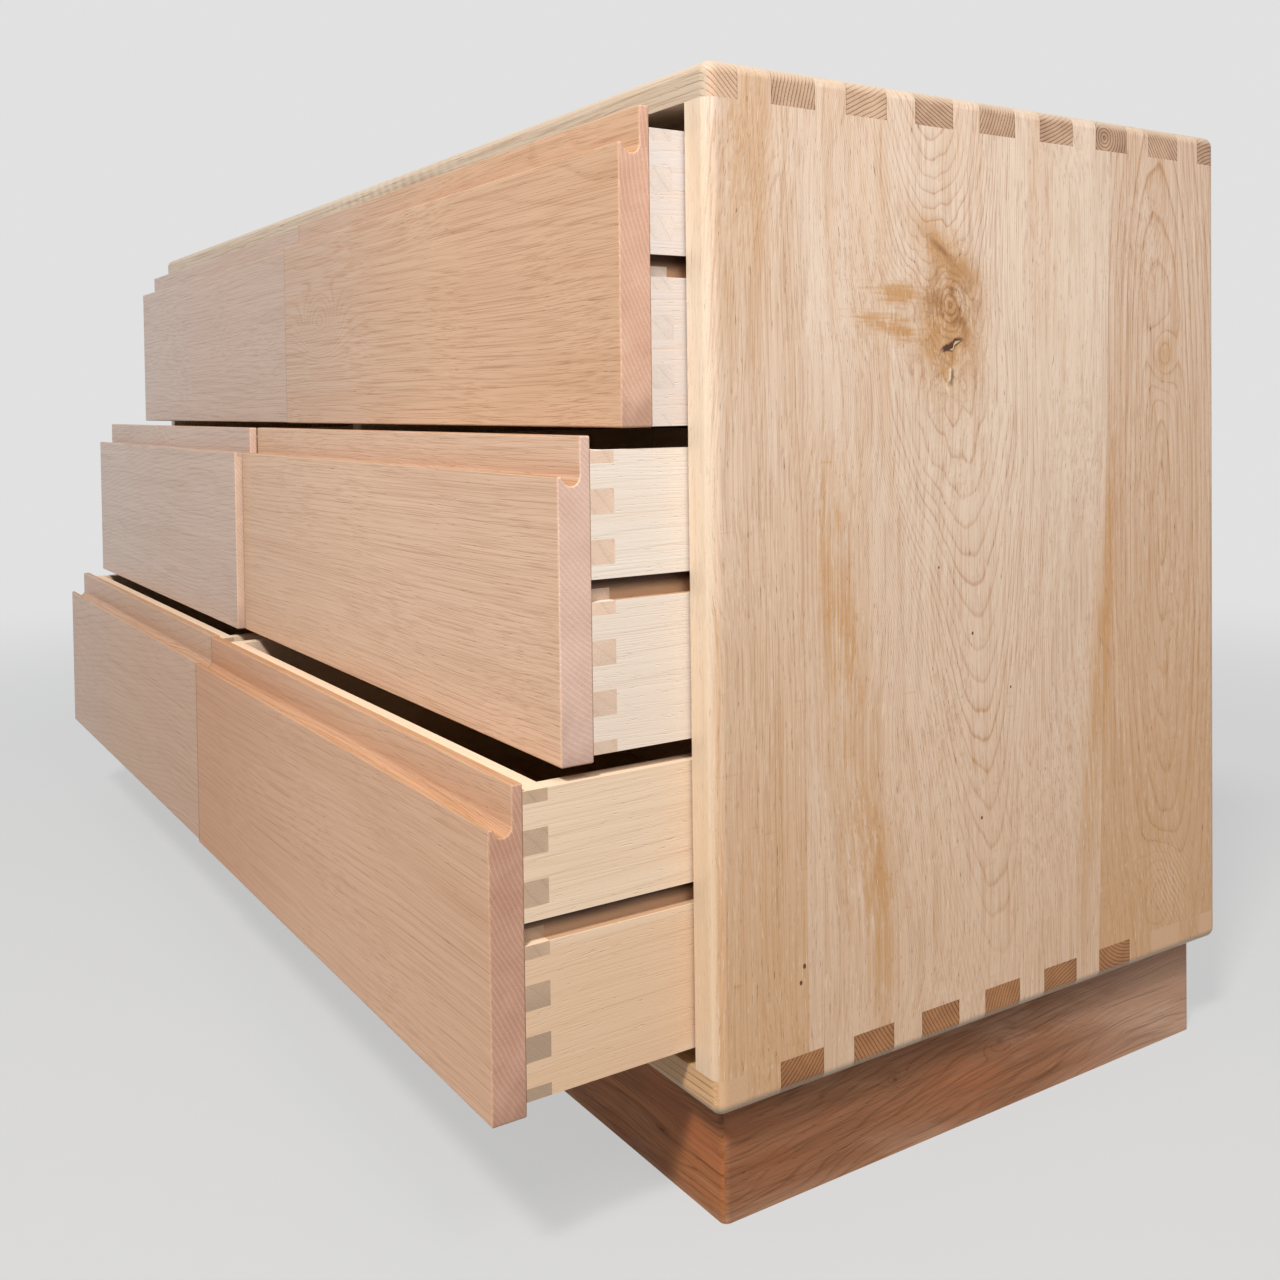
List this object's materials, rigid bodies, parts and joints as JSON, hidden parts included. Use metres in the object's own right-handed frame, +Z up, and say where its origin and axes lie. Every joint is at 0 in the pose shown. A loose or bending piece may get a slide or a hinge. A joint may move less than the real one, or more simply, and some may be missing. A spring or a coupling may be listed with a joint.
{
  "type": "dresser",
  "caption": "Wide low solid-wood dresser with finger-jointed case, recessed plinth and two columns of coved drawers",
  "frame": {"origin": "on the floor, midway along the case's width and midway between its front and back edges", "axes": "+X to the right seen from the front, along the width; the drawers open towards -Y; +Z up"},
  "size_m": [1.28, 0.6395, 0.72],
  "materials": {
    "case_wood": "satin oiled, pale ash-like",
    "front_wood": "satin oiled, pinkish oak",
    "box_wood": "matt, pale birch",
    "plywood": "matt birch plywood",
    "plinth_wood": "satin oiled, reddish brown",
    "screw_steel": "plated"
  },
  "bodies": {
    "case": {"case_top": "case_wood", "case_bottom": "case_wood", "case_side_left": "case_wood", "case_side_right": "case_wood", "centre_divider": "box_wood", "back_panel": "plywood", "runners_side_left": "box_wood", "runners_divider_left": "box_wood", "runners_divider_right": "box_wood", "runners_side_right": "box_wood", "runner_screws": "screw_steel", "plinth_front": "plinth_wood", "plinth_right": "plinth_wood", "plinth_back": "plinth_wood", "plinth_left": "plinth_wood", "plinth_centre_rail": "plinth_wood", "plinth_corner_blocks": "box_wood", "plinth_screws": "screw_steel"},
    "drawer_top_left": {"drawer_top_left_front": "front_wood", "drawer_top_left_box_front": "box_wood", "drawer_top_left_box_back": "box_wood", "drawer_top_left_side_left": "box_wood", "drawer_top_left_side_right": "box_wood", "drawer_top_left_bottom": "plywood", "drawer_top_left_screws": "screw_steel"},
    "drawer_top_right": {"drawer_top_right_front": "front_wood", "drawer_top_right_box_front": "box_wood", "drawer_top_right_box_back": "box_wood", "drawer_top_right_side_left": "box_wood", "drawer_top_right_side_right": "box_wood", "drawer_top_right_bottom": "plywood", "drawer_top_right_screws": "screw_steel"},
    "drawer_middle_left": {"drawer_middle_left_front": "front_wood", "drawer_middle_left_box_front": "box_wood", "drawer_middle_left_box_back": "box_wood", "drawer_middle_left_side_left": "box_wood", "drawer_middle_left_side_right": "box_wood", "drawer_middle_left_bottom": "plywood", "drawer_middle_left_screws": "screw_steel"},
    "drawer_middle_right": {"drawer_middle_right_front": "front_wood", "drawer_middle_right_box_front": "box_wood", "drawer_middle_right_box_back": "box_wood", "drawer_middle_right_side_left": "box_wood", "drawer_middle_right_side_right": "box_wood", "drawer_middle_right_bottom": "plywood", "drawer_middle_right_screws": "screw_steel"},
    "drawer_bottom_left": {"drawer_bottom_left_front": "front_wood", "drawer_bottom_left_box_front": "box_wood", "drawer_bottom_left_box_back": "box_wood", "drawer_bottom_left_side_left": "box_wood", "drawer_bottom_left_side_right": "box_wood", "drawer_bottom_left_bottom": "plywood", "drawer_bottom_left_screws": "screw_steel"},
    "drawer_bottom_right": {"drawer_bottom_right_front": "front_wood", "drawer_bottom_right_box_front": "box_wood", "drawer_bottom_right_box_back": "box_wood", "drawer_bottom_right_side_left": "box_wood", "drawer_bottom_right_side_right": "box_wood", "drawer_bottom_right_bottom": "plywood", "drawer_bottom_right_screws": "screw_steel"}
  },
  "joints": [
    {"name": "top_left_slide", "type": "slide", "parent": "case", "child": "drawer_top_left", "axis": [0, -1, 0], "range_m": [-0.0385, 0.3215]},
    {"name": "top_right_slide", "type": "slide", "parent": "case", "child": "drawer_top_right", "axis": [0, -1, 0], "range_m": [-0.047, 0.313]},
    {"name": "middle_left_slide", "type": "slide", "parent": "case", "child": "drawer_middle_left", "axis": [0, -1, 0], "range_m": [-0.098, 0.262]},
    {"name": "middle_right_slide", "type": "slide", "parent": "case", "child": "drawer_middle_right", "axis": [0, -1, 0], "range_m": [-0.0915, 0.2685]},
    {"name": "bottom_left_slide", "type": "slide", "parent": "case", "child": "drawer_bottom_left", "axis": [0, -1, 0], "range_m": [-0.1375, 0.2225]},
    {"name": "bottom_right_slide", "type": "slide", "parent": "case", "child": "drawer_bottom_right", "axis": [0, -1, 0], "range_m": [-0.1395, 0.2205]}
  ]
}
